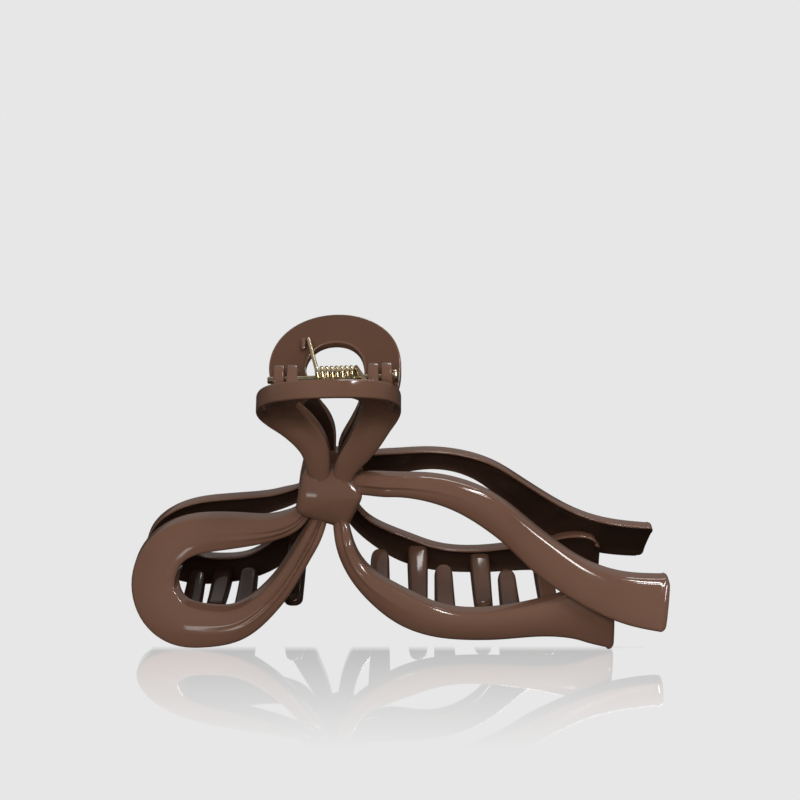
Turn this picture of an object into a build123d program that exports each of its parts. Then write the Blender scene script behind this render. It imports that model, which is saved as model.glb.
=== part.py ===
"""Bow claw clip: two moulded jaws in the shape of a bow, on one sprung hinge pin.

Millimetres. The origin is on the ground under the middle of the clip. X runs along the
clip from the bow's side loop to its tails, Y from the front jaw to the back jaw, Z up.
Each jaw is one moulded solid: side loop, two tails, grip loop, knot, teeth and hinge ears.
"""
from build123d import *
import math
import os

# Wall and edges of both jaws
WALL = 4.0
EDGE_ROUND = 1.0
INNER_ROUND = 0.5
CROWN = 0.7

# Outer face of a jaw: its distance from the middle plane over X and Z
MOUTH_HALF = 20.7
LEAN = 0.10
BELLY = 0.0042
CURL_X = 25.4
CURL = 0.00073
CURL_RISE = 0.00004

# Knot of the bow
KNOT_X = -15.6
KNOT_Z = 33.0
KNOT_WIDTH = 14.4
KNOT_HEIGHT = 11.4
KNOT_SINK = 3.4
KNOT_FRONT = 11.1
KNOT_CORNER = 2.6
KNOT_ROUND = 1.6

# Side loop, upper tail and lower tail: reach from the knot, and widest band
LOOP_REACH = 40.4
BACK_LOOP_REACH = 39.2
LOOP_BAND = 9.2
LOOP_FLARE = 1.4
LOOP_DRAFT = 0.9
UPPER_REACH = 75.7
UPPER_RISE = 35.8
UPPER_BAND = 10.0
LOWER_REACH = 64.0
LOWER_BAND = 8.0
UPPER_FLARE = 1.85
UPPER_TILT = 2.15
END_SLANT = 9.0
LOWER_TUCK = 1.1
BACK_SWELL = 2.0

# Hinge, ears and pin
HINGE_X = -14.5
HINGE_SHARE = 0.752
HINGE_TILT = 1.6
EAR_ROUND = 3.4
EAR_WIDTH = 2.7
EAR_GAP = 0.3
EAR_PITCH = 21.0
EAR_ROOT = 1.2
EAR_SEAT = 0.7
PIN_DIAMETER = 1.6
PIN_FIT = 0.05
PIN_END = 1.4
HEAD_DIAMETER = 3.5
HEAD_LENGTH = 1.1

# Grip loop, laid out flat over the profile of its inner face
GRIP_X = -15.15
GRIP_HALF = 11.75
BACK_GRIP_X = -14.45
BACK_GRIP_HALF = 11.1
GRIP_BAND = 8.9
GRIP_HOLE_WALL = 2.2
GRIP_SPREAD = 23.3
GRIP_RISE = 66.15
GRIP_THROAT = 4.4
HINGE_Z = KNOT_Z + HINGE_SHARE * (GRIP_RISE - KNOT_Z)

# Torsion spring
COIL_X = -13.7
WIRE = 0.95
COIL_DIAMETER = 5.9
COIL_TURNS = 8
COIL_ARCS = 4
LEG_BEND = 2.1
LEG_STRAIGHT = 0.6
COIL_LENGTH = 9.75
LEG_SHARE = 0.79
LEG_SPLAY = 2.5
LEG_GAP = 0.1
TAB_GAP = 0.25
TAB_WIDTH = 1.0
TAB_LENGTH = 3.2
TAB_HEIGHT = 1.2
TAB_DROP = 1.4

# Teeth
TOOTH_PITCH = 15.0
TOOTH_ROOT = 4.9
TOOTH_TIP = 4.1
TOOTH_THICK = 3.2
TOOTH_THIN = 2.3
TOOTH_PAST = 9.6
TOOTH_SEAT = 1.6
TOOTH_SAG = 0.8
FRONT_TOOTH_X = -4.3
BACK_TOOTH_X = 4.6


# Side loop: share of LOOP_REACH out from the knot, share of KNOT_Z up, share of LOOP_BAND,
# share of the outward flare round its foot, and share of BACK_SWELL
LOOP_ROWS = (
    # out, up, band, flare, swell
    (0.104, 0.950, 0.325, 0.0, 0.0),
    (0.156, 0.860, 0.37, 0.0, 0.0),
    (0.223, 0.812, 0.435, 0.0, 0.0),
    (0.32, 0.772, 0.50, 0.0, 0.0),
    (0.47, 0.743, 0.63, 0.0, 0.0),
    (0.65, 0.714, 0.74, 0.0, 0.3),
    (0.812, 0.665, 0.80, 0.1, 0.6),
    (0.94, 0.550, 0.945, 0.3, 0.35),
    (0.983, 0.391, 1.15, 0.3, 0.0),
    (0.948, 0.253, 1.16, 0.65, 0.0),
    (0.853, 0.158, 1.04, 1.0, 0.0),
    (0.69, 0.130, 0.89, 1.0, 0.0),
    (0.517, 0.162, 0.75, 0.9, 0.25),
    (0.368, 0.282, 0.62, 0.65, 0.8),
    (0.245, 0.448, 0.535, 0.35, 0.8),
    (0.146, 0.636, 0.48, 0.1, 0.3),
    (0.067, 0.800, 0.425, 0.0, 0.0),
    (0.032, 0.909, 0.325, 0.0, 0.0),
)

# Upper tail: share of UPPER_REACH out, share of UPPER_RISE up, share of UPPER_BAND, share
# of the outward flare at its end, and share of BACK_SWELL
UPPER_ROWS = (
    # out, up, band, flare, swell
    (0.057, 0.983, 0.371, 0.0, 0.4),
    (0.112, 0.992, 0.438, 0.0, 0.8),
    (0.204, 1.000, 0.426, 0.0, 1.0),
    (0.292, 0.992, 0.500, 0.0, 0.25),
    (0.386, 0.948, 0.600, 0.0, -0.3),
    (0.477, 0.858, 0.680, 0.0, -0.3),
    (0.556, 0.737, 0.68, 0.08, 0.35),
    (0.634, 0.600, 0.742, 0.20, 1.0),
    (0.725, 0.472, 0.758, 0.37, 1.0),
    (0.813, 0.383, 0.825, 0.56, 0.9),
    (0.903, 0.330, 0.923, 0.78, 0.6),
    (1.00, 0.306, 1.00, 1.0, 0.3),
)

# Lower tail: share of LOWER_REACH out, share of KNOT_Z up, share of LOWER_BAND
LOWER_ROWS = (
    # out, up, band
    (0.036, 0.915, 0.375),
    (0.047, 0.773, 0.465),
    (0.074, 0.615, 0.51),
    (0.12, 0.489, 0.59),
    (0.185, 0.382, 0.74),
    (0.267, 0.284, 0.87),
    (0.37, 0.205, 0.83),
    (0.48, 0.176, 0.78),
    (0.60, 0.182, 0.81),
    (0.73, 0.212, 0.92),
    (0.83, 0.232, 1.18),
    (0.92, 0.230, 1.48),
    (1.00, 0.170, 1.38),
)

# Profile of the grip's inner face: share of GRIP_SPREAD out, share of the way up from
# KNOT_Z to GRIP_RISE
THROAT_SHARE = GRIP_THROAT / GRIP_SPREAD
GRIP_PROFILE = (
    # out, up
    (THROAT_SHARE * 1.16, 0.015),
    (THROAT_SHARE * 1.11, 0.091),
    (THROAT_SHARE * 1.01, 0.274),
    (THROAT_SHARE * 1.00, 0.396),
    (THROAT_SHARE * 1.11, 0.519),
    (0.292, 0.635),
    (0.429, 0.737),
    (0.665, 0.870),
    (1.000, 1.000),
)

# Grip loop: share of GRIP_HALF from GRIP_X, share of the profile's length, share of
# GRIP_BAND, and share of the thinning from WALL to GRIP_HOLE_WALL beside the hole
GRIP_ROWS = (
    # across, along, band, thin
    (-0.185, 0.063, 0.49, 0.0),
    (-0.225, 0.133, 0.59, 0.0),
    (-0.285, 0.242, 0.70, 0.1),
    (-0.505, 0.350, 0.80, 0.4),
    (-0.80, 0.457, 0.90, 0.8),
    (-1.00, 0.610, 0.99, 1.0),
    (-0.866, 0.753, 1.00, 1.0),
    (-0.50, 0.855, 1.00, 1.0),
    (0.00, 0.891, 1.00, 1.0),
    (0.50, 0.855, 1.00, 1.0),
    (0.866, 0.753, 1.00, 1.0),
    (1.00, 0.610, 0.99, 1.0),
    (0.925, 0.457, 0.93, 0.8),
    (0.775, 0.350, 0.85, 0.4),
    (0.548, 0.242, 0.75, 0.1),
    (0.291, 0.133, 0.59, 0.0),
    (0.226, 0.063, 0.47, 0.0),
)

# Teeth of each jaw: pitches from the first tooth, root and tip height as shares of KNOT_Z
FRONT_TEETH = (
    # pitch, root, tip
    (-2.9, 0.15, 0.18),
    (-2.07, 0.18, 0.20),
    (0, 0.37, 0.34),
    (1, 0.21, 0.22),
    (2, 0.20, 0.18),
    (3, 0.20, 0.18),
)
BACK_TEETH = (
    # pitch, root, tip
    (-3.11, 0.13, 0.18),
    (-1.91, 0.40, 0.21),
    (0, 0.27, 0.21),
    (1, 0.20, 0.175),
    (2, 0.22, 0.17),
)


def outer_face(x, z):
    """Distance of a jaw's outer face from the middle plane."""
    curl = (x - CURL_X) ** 2 * (CURL + CURL_RISE * max(z, 0.0))
    return MOUTH_HALF - LEAN * z - BELLY * z * z - curl


def headings(points):
    """Unit direction along a row of flat points, one for each point."""
    result = []
    last = len(points) - 1
    for i in range(len(points)):
        before = points[max(i - 1, 0)]
        here = points[i]
        after = points[min(i + 1, last)]
        back = math.dist(before, here)
        ahead = math.dist(here, after)
        if back == 0.0 or ahead == 0.0:
            across, up = after[0] - before[0], after[1] - before[1]
        else:
            across = (here[0] - before[0]) / back * ahead + (after[0] - here[0]) / ahead * back
            up = (here[1] - before[1]) / back * ahead + (after[1] - here[1]) / ahead * back
        size = math.hypot(across, up)
        result.append((across / size, up / size))
    return result


def bent(first, middle, last):
    """Gentle curve from first to last that passes through middle."""
    control = middle * 2 - (first + last) / 2
    return Bezier(first, control, last)


def band_section(half, wall, place, draft=0.0):
    """Closed outline of a band: place(n, h) puts width n and height h on the jaw.

    The side towards n slopes back by draft from the inner face to the outer one.
    """
    flank = half - EDGE_ROUND
    heel = half - INNER_ROUND
    sloped = half - draft
    crest = wall + CROWN
    shoulder = wall + CROWN * (1 - (flank / half) ** 2)
    drop = wall - EDGE_ROUND
    edges = [
        bent(place(-heel, 0), place(0, 0), place(heel, 0)),
        Bezier(place(heel, 0), place(half, 0), place(half, INNER_ROUND)),
        Line(place(half, INNER_ROUND), place(sloped, drop)),
        Bezier(place(sloped, drop), place(sloped, wall), place(flank - draft, shoulder)),
        bent(place(flank - draft, shoulder), place(-draft / 2, crest), place(-flank, shoulder)),
        Bezier(place(-flank, shoulder), place(-half, wall), place(-half, drop)),
        Line(place(-half, drop), place(-half, INNER_ROUND)),
        Bezier(place(-half, INNER_ROUND), place(-half, 0), place(-heel, 0)),
    ]
    return Wire(edges)


def jaw_band(rows, reach, rise, widest, side, flare=0.0, tilt=0.0, end_slant=None, draft=0.0,
             swell=0.0):
    """Band that lies on the jaw's face, with edges square to the middle plane.

    The outer side of the loop and the lower side of the tail stand out further by swell.
    """
    centres = [(KNOT_X + side * row[0] * reach, row[1] * rise) for row in rows]
    directions = headings(centres)
    if end_slant is not None:
        directions[-1] = (math.cos(math.radians(end_slant)), -math.sin(math.radians(end_slant)))
    sections = []
    for (x, z), (dx, dz), row in zip(centres, directions, rows):
        more = swell * row[4] / 2 if len(row) > 4 else 0.0
        half = row[2] * widest / 2 + more
        share = row[3] if len(row) > 3 else row[0]
        raised = flare * share
        turned = tilt * share / half

        def place(n, h, x=x, z=z, dx=dx, dz=dz, raised=raised, turned=turned, more=more):
            n = n - more
            px, pz = x - n * dz, z + n * dx
            return Vector(px, -(outer_face(px, pz) + raised - turned * n - WALL + h), pz)

        sections.append(band_section(half, WALL, place, draft))
    return Solid.make_loft(sections)


def grip_profile():
    """Curve of the grip's inner face, in the plane of Y and Z."""
    points = [(0, -out * GRIP_SPREAD, KNOT_Z + up * (GRIP_RISE - KNOT_Z)) for out, up in GRIP_PROFILE]
    return Spline(*points)


PROFILE = grip_profile()
PROFILE_LENGTH = PROFILE.length


def on_grip(x, along, height):
    """Point over the grip's inner face: X, length along the profile, height off the face."""
    share = min(max(along / PROFILE_LENGTH, 0.0), 1.0)
    spot = PROFILE.position_at(share)
    tangent = PROFILE.tangent_at(share)
    spot = spot + tangent * (along - share * PROFILE_LENGTH)
    outward = Vector(0, -tangent.Z, tangent.Y)
    lean = (x - HINGE_X) * math.tan(math.radians(HINGE_TILT))
    return Vector(x, 0, lean) + spot + outward * height


def tilted(shape):
    """Shape turned with the hinge line, about the middle of the hinge."""
    turn = Pos(HINGE_X, 0, HINGE_Z) * Rot(0, -HINGE_TILT, 0) * Pos(-HINGE_X, 0, -HINGE_Z)
    return turn * shape


def grip_band(middle_x, reach):
    """Grip loop, wrapped over the profile."""
    centres = [(middle_x + row[0] * reach, row[1] * PROFILE_LENGTH) for row in GRIP_ROWS]
    directions = headings(centres)
    directions[0] = (0.0, 1.0)
    directions[-1] = (0.0, -1.0)
    sections = []
    for (x, s), (dx, ds), row in zip(centres, directions, GRIP_ROWS):
        half = row[2] * GRIP_BAND / 2
        thin = row[3] * (1 - GRIP_HOLE_WALL / WALL)

        def place(n, h, x=x, s=s, dx=dx, ds=ds, half=half, thin=thin):
            return on_grip(x - n * ds, s + n * dx, h * (1 - thin * (1 - n / half) / 2))

        sections.append(band_section(half, WALL, place))
    return Solid.make_loft(sections)


def knot():
    """Pillow over the crossing of the bands."""
    half_width = KNOT_WIDTH / 2
    half_height = KNOT_HEIGHT / 2
    corners = (
        # across, up, as shares of the half width and half height
        (-0.78, 1.08),
        (-1.07, -0.64),
        (0.58, -1.34),
        (1.10, 0.12),
        (0.55, 1.00),
    )
    points = [(KNOT_X + a * half_width, KNOT_Z + u * half_height) for a, u in corners]
    outline = Plane.XZ * make_face(Polyline(*points, close=True))
    outline = fillet(outline.vertices(), KNOT_CORNER)
    block = extrude(outline, KNOT_FRONT, dir=(0, -1, 0))
    front = block.faces().sort_by(Axis.Y)[0]
    block = fillet(front.edges(), KNOT_ROUND)
    keep = Pos(KNOT_X, -(KNOT_SINK + KNOT_FRONT) / 2, KNOT_Z)
    return block & keep * Box(2 * KNOT_WIDTH, KNOT_FRONT - KNOT_SINK, 3 * KNOT_HEIGHT)


def tooth(x, root_z, tip_z):
    """Tooth from the front jaw's inner face to past the middle plane."""
    root_y = -(outer_face(x, root_z) - WALL + TOOTH_SEAT)
    tip_y = TOOTH_PAST
    root_half, tip_half = TOOTH_ROOT / 2, TOOTH_TIP / 2
    plan = make_face(Polyline(
        (x - root_half, root_y), (x + root_half, root_y),
        (x + tip_half, tip_y - tip_half), (x - tip_half, tip_y - tip_half), close=True))
    plan += Pos(x, tip_y - tip_half) * Circle(tip_half)
    middle_y = (root_y + tip_y) / 2
    middle_z = (root_z + tip_z) / 2 - TOOTH_SAG
    middle_half = (TOOTH_THICK + TOOTH_THIN) / 4
    thin_half = TOOTH_THIN / 2
    shoulder_y = tip_y - thin_half
    side = Plane.YZ * make_face([
        ThreePointArc((root_y, root_z + TOOTH_THICK / 2), (middle_y, middle_z + middle_half),
                      (shoulder_y, tip_z + thin_half)),
        ThreePointArc((shoulder_y, tip_z + thin_half), (tip_y, tip_z),
                      (shoulder_y, tip_z - thin_half)),
        ThreePointArc((shoulder_y, tip_z - thin_half), (middle_y, middle_z - middle_half),
                      (root_y, root_z - TOOTH_THICK / 2)),
        Line((root_y, root_z - TOOTH_THICK / 2), (root_y, root_z + TOOTH_THICK / 2)),
    ])
    slab = extrude(side, TOOTH_ROOT, both=True)
    column = extrude(plan, KNOT_Z)
    return column & Pos(x, 0, 0) * slab


def ear(centre_x):
    """Hinge ear of the front jaw, without its bore."""
    spots = ((0.0, HINGE_Z, EAR_ROUND),)
    for share in (0.44, 0.58):
        root = on_grip(HINGE_X, share * PROFILE_LENGTH, EAR_SEAT)
        spots += ((root.Y, root.Z, EAR_ROOT),)
    rounds = [Pos(y, z) * Circle(radius) for y, z, radius in spots]
    outline = make_hull([edge for circle in rounds for edge in circle.edges()])
    solid = extrude(Plane.YZ * outline, EAR_WIDTH / 2, both=True)
    return tilted(Pos(centre_x, 0, 0) * solid)


def tab(x):
    """Low stop beside the end of a spring leg, on the front jaw's grip."""
    along = LEG_SHARE * PROFILE_LENGTH - TAB_DROP
    base = on_grip(x, along, 0)
    ahead = on_grip(x, along + 1, 0) - base
    plane = Plane(origin=base, x_dir=(1, 0, 0), z_dir=Vector(1, 0, 0).cross(ahead))
    return plane * Box(TAB_WIDTH, TAB_LENGTH, 2 * TAB_HEIGHT)


def ear_places():
    """X of the ears: the front jaw's pair is inside, the back jaw's pair outside."""
    step = (EAR_WIDTH + EAR_GAP) / 2
    middle = EAR_PITCH / 2
    front = (HINGE_X - middle + step, HINGE_X + middle - step)
    back = (HINGE_X - middle - step, HINGE_X + middle + step)
    return front, back


def bore():
    """Hole for the pin through every ear."""
    radius = PIN_DIAMETER / 2 + PIN_FIT
    return tilted(Pos(HINGE_X, 0, HINGE_Z) * Rot(0, 90, 0) * Cylinder(radius, 2 * EAR_PITCH))


def jaw(teeth, first_tooth, ears, tab_x, loop_reach, grip_x, grip_half, swell):
    """One jaw in the place of the front one."""
    loop_band = LOOP_BAND * loop_reach / LOOP_REACH
    bands = [
        jaw_band(UPPER_ROWS, UPPER_REACH, UPPER_RISE, UPPER_BAND, 1, UPPER_FLARE, UPPER_TILT,
                 END_SLANT, swell=swell),
        jaw_band(LOWER_ROWS, LOWER_REACH, KNOT_Z, LOWER_BAND, 1, -LOWER_TUCK, 0.0, 0.0),
        knot(),
        jaw_band(LOOP_ROWS, loop_reach, KNOT_Z, loop_band, -1, LOOP_FLARE, draft=LOOP_DRAFT,
                 swell=swell),
        grip_band(grip_x, grip_half),
        tab(tab_x),
    ]
    for pitch, root, tip in teeth:
        bands.append(tooth(first_tooth + pitch * TOOTH_PITCH, root * KNOT_Z, tip * KNOT_Z))
    for x in ears:
        bands.append(ear(x))
    whole = bands[0]
    for band in bands[1:]:
        whole = whole + band
    return whole - bore()


def hinge_pin():
    """Plain pin with one flat round head."""
    front, back = ear_places()
    left = back[0] - EAR_WIDTH / 2 - PIN_END
    right = back[1] + EAR_WIDTH / 2
    length = right - left
    along = Rot(0, 90, 0)
    shank = Pos((left + right) / 2, 0, HINGE_Z) * along * Cylinder(PIN_DIAMETER / 2, length)
    head_x = right + PIN_FIT + HEAD_LENGTH / 2
    head = Cylinder(HEAD_DIAMETER / 2, HEAD_LENGTH)
    head = Pos(head_x, 0, HINGE_Z) * along * fillet(head.edges().sort_by(Axis.Z)[-1], HEAD_LENGTH / 3)
    neck = Pos(right, 0, HINGE_Z) * along * Cylinder(PIN_DIAMETER / 2, HEAD_LENGTH)
    return tilted(shank + neck + head)


def leg_contact(x, side):
    """Centre of a spring leg's end on a grip: side is -1 for the front jaw, 1 for the back."""
    spot = on_grip(HINGE_X, LEG_SHARE * PROFILE_LENGTH, -(WIRE / 2 + LEG_GAP))
    return Vector(x, -side * spot.Y, spot.Z)


def torsion_spring():
    """One wire: a coil round the pin, with a leg from its top to each grip."""
    radius = (COIL_DIAMETER - WIRE) / 2
    travel = COIL_LENGTH - WIRE
    left = COIL_X - travel / 2
    right = COIL_X + travel / 2
    back_end = leg_contact(left - LEG_SPLAY, 1)
    front_end = leg_contact(right + LEG_SPLAY, -1)
    rise = back_end.Z - HINGE_Z
    top = math.atan2(rise, back_end.Y) + math.acos(radius / math.hypot(rise, back_end.Y))
    sweep_angle = 2 * math.pi * COIL_TURNS + math.pi - 2 * top
    slope = travel / sweep_angle

    def on_coil(angle):
        return Vector(left + slope * angle, radius * math.cos(top + angle),
                      HINGE_Z + radius * math.sin(top + angle))

    def along_coil(angle):
        return Vector(slope, -radius * math.sin(top + angle), radius * math.cos(top + angle))

    def leg(end, at_coil, along):
        bend = at_coil - along.normalized() * LEG_BEND * WIRE
        return Bezier(end, end + (bend - end) * LEG_STRAIGHT, bend, at_coil)

    part = sweep_angle / (COIL_ARCS * COIL_TURNS)
    pull = math.tan(part / 4) * 4 / 3
    edges = [leg(back_end, on_coil(0), along_coil(0))]
    for i in range(COIL_ARCS * COIL_TURNS):
        angle, after = part * i, part * (i + 1)
        edges.append(Bezier(on_coil(angle), on_coil(angle) + along_coil(angle) * pull,
                            on_coil(after) - along_coil(after) * pull, on_coil(after)))
    last = leg(front_end, on_coil(sweep_angle), -along_coil(sweep_angle))
    edges.append(last)
    path = Wire(edges)
    ring = Plane(origin=path @ 0, z_dir=path % 0) * Circle(WIRE / 2)
    return tilted(sweep(ring, path=path))


def only_solid(shape, name):
    """The one solid of a finished piece."""
    solids = shape.solids()
    print(name, "solids", len(solids), "volume", round(sum(s.volume for s in solids), 1))
    return solids[0]


def main():
    os.makedirs("parts", exist_ok=True)
    front_ears, back_ears = ear_places()
    stop = COIL_LENGTH / 2 - WIRE / 2 + LEG_SPLAY + (WIRE + TAB_WIDTH) / 2 + TAB_GAP
    front = jaw(FRONT_TEETH, FRONT_TOOTH_X, front_ears, COIL_X + stop, LOOP_REACH, GRIP_X, GRIP_HALF,
                0.0)
    back = jaw(BACK_TEETH, BACK_TOOTH_X, back_ears, COIL_X - stop, BACK_LOOP_REACH, BACK_GRIP_X,
               BACK_GRIP_HALF, BACK_SWELL).mirror(Plane.XZ)
    pieces = {
        "front_jaw": front,
        "back_jaw": back,
        "hinge_pin": hinge_pin(),
        "torsion_spring": torsion_spring(),
    }
    for name, shape in pieces.items():
        export_step(only_solid(shape, name), "parts/" + name + ".step")


if __name__ == "__main__":
    main()
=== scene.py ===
"""Bow claw clip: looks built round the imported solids. Metres in the scene, millimetres in tables."""
import math

import bmesh
import bpy
import numpy as np
from mathutils import Matrix, Vector


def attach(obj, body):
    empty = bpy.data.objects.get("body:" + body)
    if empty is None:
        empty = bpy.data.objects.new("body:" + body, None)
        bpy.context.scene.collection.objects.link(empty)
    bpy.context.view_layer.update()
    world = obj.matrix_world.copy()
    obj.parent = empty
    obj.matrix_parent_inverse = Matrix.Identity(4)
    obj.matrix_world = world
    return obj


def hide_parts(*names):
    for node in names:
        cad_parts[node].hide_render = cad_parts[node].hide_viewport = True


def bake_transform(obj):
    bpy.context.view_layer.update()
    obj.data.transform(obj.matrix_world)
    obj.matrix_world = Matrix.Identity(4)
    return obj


MM = 0.001

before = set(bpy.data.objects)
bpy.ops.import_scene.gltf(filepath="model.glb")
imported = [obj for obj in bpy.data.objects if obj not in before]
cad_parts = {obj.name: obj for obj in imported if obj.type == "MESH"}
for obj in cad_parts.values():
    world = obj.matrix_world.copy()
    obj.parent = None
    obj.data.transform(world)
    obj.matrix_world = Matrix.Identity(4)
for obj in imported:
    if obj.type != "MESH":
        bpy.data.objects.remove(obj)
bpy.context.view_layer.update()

# Camera
CAMERA_PLACE = (0.4, -386.1, 193.4)
CAMERA_PITCH = 70.0
CAMERA_LENS = 82.35
SENSOR = 36.0

# Wall and edges of both jaws
WALL = 4.0
TAIL_EDGE = 0.8
LOOP_EDGE = 0.7
RIM_EDGE = 0.4
INNER_ROUND = 0.4
CROWN = 0.7
INNER_DISH = 0.7
EDGE_LIMIT = 0.6
END_ROUND = 1.3
END_FACE = 0.6
END_TURN = 7.0

# Outer face of a jaw: its distance from the middle plane over X and Z
MOUTH_HALF = 20.7
LEAN = 0.10
BELLY = 0.0042
CURL_X = 25.4
CURL = 0.00073
CURL_RISE = 0.00004

# Knot of the bow
KNOT_X = -15.6
KNOT_Z = 33.0
KNOT_WIDTH = 14.4
KNOT_HEIGHT = 11.4
KNOT_SINK = 3.4
KNOT_FRONT = 11.1
KNOT_CORNER = 2.6
KNOT_ROUND = 1.9
KNOT_DOME = 0.5
KNOT_TOP_DROP = 2.5
KNOT_DROP_START = -3.0
KNOT_DIP = 1.4
KNOT_DIP_END = 1.9
KNOT_TURN = 80
KNOT_STEP = 0.5
KNOT_SIDE_STEPS = 3
KNOT_DOME_SHARES = (0.88, 0.74, 0.58, 0.4, 0.2, 0.08)
KNOT_CORNERS = ((-0.78, 1.08), (-1.07, -0.64), (0.58, -1.34), (1.10, 0.12), (0.55, 1.00))

# Bands
LOOP_REACH = 40.4
BACK_LOOP_REACH = 39.2
LOOP_BAND = 9.2
LOOP_FLARE = 1.4
LOOP_DRAFT = 0.9
UPPER_REACH = 75.7
UPPER_RISE = 35.8
UPPER_BAND = 10.0
UPPER_FLARE = 1.85
UPPER_TILT = 2.15
END_SLANT = 9.0
LOWER_TUCK = 1.1
BACK_SWELL = 2.0
LOWER_REACH = 64.0
LOWER_BAND = 8.0
RING_STEP = 0.8

# Draft of a band's side: the half width that takes all of it, and how it eases with the direction
DRAFT_HALF = 3.2
DRAFT_EASE = 0.7
DRAFT_EASE_SPAN = (0.2, 0.9)
DRAFT_HOLD_SPAN = (-0.3, 0.6)

# Hinge, ears and pin
HINGE_X = -14.5
HINGE_SHARE = 0.752
HINGE_TILT = 1.6
EAR_ROUND = 3.4
EAR_WIDTH = 2.7
EAR_GAP = 0.3
EAR_PITCH = 21.0
EAR_ROOT = 1.2
EAR_SEAT = 0.7
EAR_BEVEL = 0.35
EAR_STEP = 0.35
EAR_FOOT = (0.44, 0.58)
EAR_FOOT_WIDTH = 1.07
EAR_NARROWING = 0.20
EAR_FOOT_DROP = 3.5
PIN_DIAMETER = 1.6
PIN_FIT = 0.05
PIN_END = 1.4
HEAD_DIAMETER = 3.5
HEAD_LENGTH = 1.1

# Grip loop over the profile of its inner face
GRIP_X = -15.15
GRIP_HALF = 11.75
BACK_GRIP_X = -14.45
BACK_GRIP_HALF = 11.1
GRIP_BAND = 8.9
GRIP_HOLE_WALL = 2.2
RIM_PULL = 0.35
HOLE_DROP = 1.2
BACK_HOLE_DROP = 0.4
GRIP_SPREAD = 23.3
GRIP_RISE = 66.15
GRIP_THROAT = 4.4
PROFILE_STEPS = 400
PROFILE_REACH = 0.3
# Thinness from which the grip's inner face takes the half painted shade instead of the deep one
HALF_SHADE_FROM = 0.6
HOLE_WALL_SPAN = (-0.5, 0.75)
RIM_PULL_SPAN = (0.0, 0.8)
HOLE_DROP_SPAN = (0.2, 1.0)
HINGE_Z = KNOT_Z + HINGE_SHARE * (GRIP_RISE - KNOT_Z)

# Torsion spring
COIL_X = -13.7
WIRE = 0.95
COIL_DIAMETER = 5.9
COIL_TURNS = 8
COIL_LENGTH = 9.75
LEG_SHARE = 0.79
LEG_SPLAY = 2.5
LEG_GAP = 0.1
LEG_END = 0.97
LEG_STEPS = 16
TURN_STEPS = 28
WIRE_SIDES = 14
TAB_GAP = 0.25
TAB_WIDTH = 1.0
TAB_LENGTH = 3.2
TAB_HEIGHT = 1.2
TAB_DROP = 1.4
TAB_CORNER = 0.45
TAB_ROUND = 0.3
TAB_STEP = 0.2

# Teeth
TOOTH_PITCH = 15.0
TOOTH_ROOT = 4.9
TOOTH_TIP = 4.1
TOOTH_THICK = 3.2
TOOTH_THIN = 2.3
TOOTH_PAST = 9.6
TOOTH_SEAT = 1.6
TOOTH_SAG = 0.8
TOOTH_SQUARE = 0.5
TOOTH_WEDGE = 0.12
TOOTH_STEPS = 16
TIP_STEPS = 10
TIP_START = 0.88
TIP_SHARE = 0.12
TIP_LAST = 0.9995
TIP_LEAST = 0.0004
TIP_FLAT = 0.35
FRONT_TOOTH_X = -4.3
BACK_TOOTH_X = 4.6

LOOP_ROWS = (
    # out, up, band, flare, fold, swell
    (0.104, 0.950, 0.325, 0.0, 1.0, 0.0),
    (0.156, 0.860, 0.37, 0.0, 1.0, 0.0),
    (0.223, 0.812, 0.435, 0.0, 0.85, 0.0),
    (0.32, 0.772, 0.50, 0.0, 0.6, 0.0),
    (0.47, 0.743, 0.63, 0.0, 0.3, 0.0),
    (0.65, 0.714, 0.74, 0.0, 0.08, 0.3),
    (0.812, 0.665, 0.80, 0.1, 0.0, 0.6),
    (0.94, 0.550, 0.945, 0.3, 0.0, 0.35),
    (0.983, 0.391, 1.15, 0.3, 0.0, 0.0),
    (0.948, 0.253, 1.16, 0.65, 0.0, 0.0),
    (0.853, 0.158, 1.04, 1.0, 0.0, 0.0),
    (0.69, 0.130, 0.89, 1.0, 0.05, 0.0),
    (0.517, 0.162, 0.75, 0.9, 0.15, 0.25),
    (0.368, 0.282, 0.62, 0.65, 0.4, 0.8),
    (0.245, 0.448, 0.535, 0.35, 0.7, 0.8),
    (0.146, 0.636, 0.48, 0.1, 0.9, 0.3),
    (0.067, 0.800, 0.425, 0.0, 1.0, 0.0),
    (0.032, 0.909, 0.325, 0.0, 1.0, 0.0),
)

UPPER_ROWS = (
    # out, up, band, flare, fold, swell
    (0.057, 0.983, 0.371, 0.0, 1.0, 0.4),
    (0.112, 0.992, 0.438, 0.0, 1.0, 0.8),
    (0.204, 1.000, 0.426, 0.0, 0.8, 1.0),
    (0.292, 0.992, 0.500, 0.0, 0.5, 0.25),
    (0.386, 0.948, 0.600, 0.0, 0.2, -0.3),
    (0.477, 0.858, 0.680, 0.0, 0.0, -0.3),
    (0.556, 0.737, 0.68, 0.08, 0.0, 0.35),
    (0.634, 0.600, 0.742, 0.20, 0.0, 1.0),
    (0.725, 0.472, 0.758, 0.37, 0.0, 1.0),
    (0.813, 0.383, 0.825, 0.56, 0.0, 0.9),
    (0.903, 0.330, 0.923, 0.78, 0.0, 0.6),
    (1.00, 0.306, 1.00, 1.0, 0.0, 0.3),
)

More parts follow.
